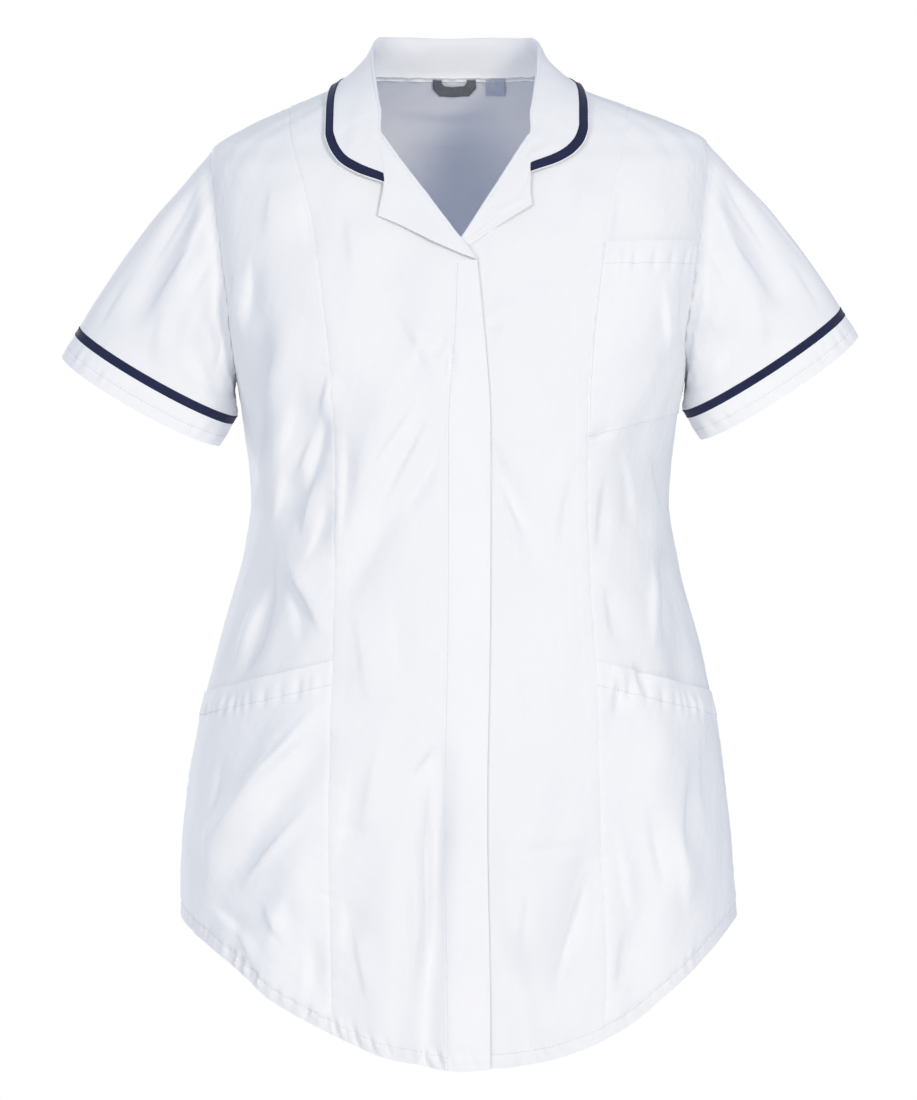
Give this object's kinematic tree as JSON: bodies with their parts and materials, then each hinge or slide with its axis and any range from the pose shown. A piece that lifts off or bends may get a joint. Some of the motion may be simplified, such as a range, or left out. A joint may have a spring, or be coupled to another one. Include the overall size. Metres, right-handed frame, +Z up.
{
  "type": "maternity tunic",
  "caption": "Worn, hollow work tunic with short sleeves, round collar with contrast tape, lapels, covered front fastening and slanted hip pockets.",
  "frame": {"origin": "midway between the neck ends of the two shoulder seams, in the open neck, where a body or a hanger carries the tunic", "axes": "+X to the wearer's left, +Y to the back, +Z up, -Y is the front with the fastening"},
  "size_m": [0.668, 0.2896, 0.8578],
  "materials": {
    "white_polycotton": "matt twill",
    "white_polycotton_trim": "matt twill",
    "navy_braid": "matt woven tape",
    "grey_tape": "matt woven tape",
    "woven_label": "satin"
  },
  "bodies": {
    "root": {"front_right": "white_polycotton", "placket": "white_polycotton_trim", "front_left": "white_polycotton", "side_front_right": "white_polycotton", "side_front_left": "white_polycotton", "hip_pocket_right": "white_polycotton_trim", "hip_pocket_left": "white_polycotton_trim", "chest_pocket": "white_polycotton_trim", "back": "white_polycotton", "back_yoke": "white_polycotton", "sleeve_right": "white_polycotton", "sleeve_tape_right": "navy_braid", "cuff_right": "white_polycotton", "sleeve_left": "white_polycotton", "sleeve_tape_left": "navy_braid", "cuff_left": "white_polycotton", "lapel_right": "white_polycotton", "collar": "white_polycotton", "lapel_left": "white_polycotton", "collar_tape": "navy_braid", "hanger_loop": "grey_tape", "neck_label": "woven_label"}
  },
  "joints": []
}
